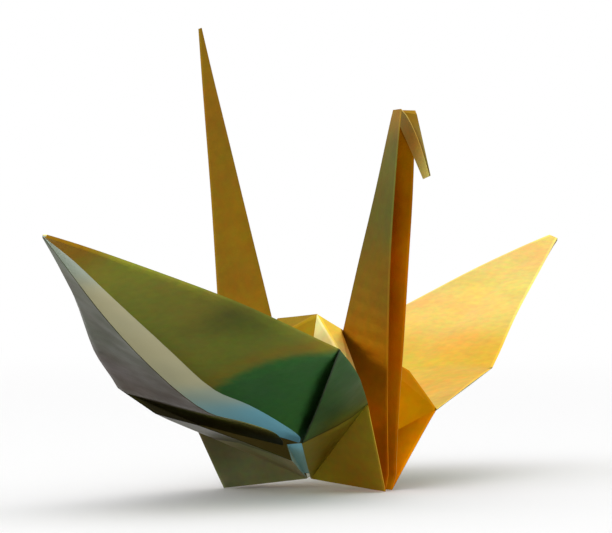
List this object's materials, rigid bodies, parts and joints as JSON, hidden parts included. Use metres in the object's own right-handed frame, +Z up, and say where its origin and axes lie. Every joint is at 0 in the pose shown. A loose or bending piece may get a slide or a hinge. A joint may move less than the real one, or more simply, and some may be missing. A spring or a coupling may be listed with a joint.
{
  "type": "origami crane",
  "caption": "Standing paper crane folded from one square foil sheet, with raised wings, a narrow upright tail and a slim neck ending in a bent-down head.",
  "frame": {"origin": "middle of the bird's box, on the surface that its keel stands on", "axes": "+X towards the neck and head, -X towards the tail, +Y and -Y along the two wings, +Z up"},
  "size_m": [0.0368, 0.163, 0.0637],
  "materials": {
    "foil_paper": "satin gold foil on one side, plain white on the other"
  },
  "bodies": {
    "root": {"folded_sheet": "foil_paper"}
  },
  "joints": []
}
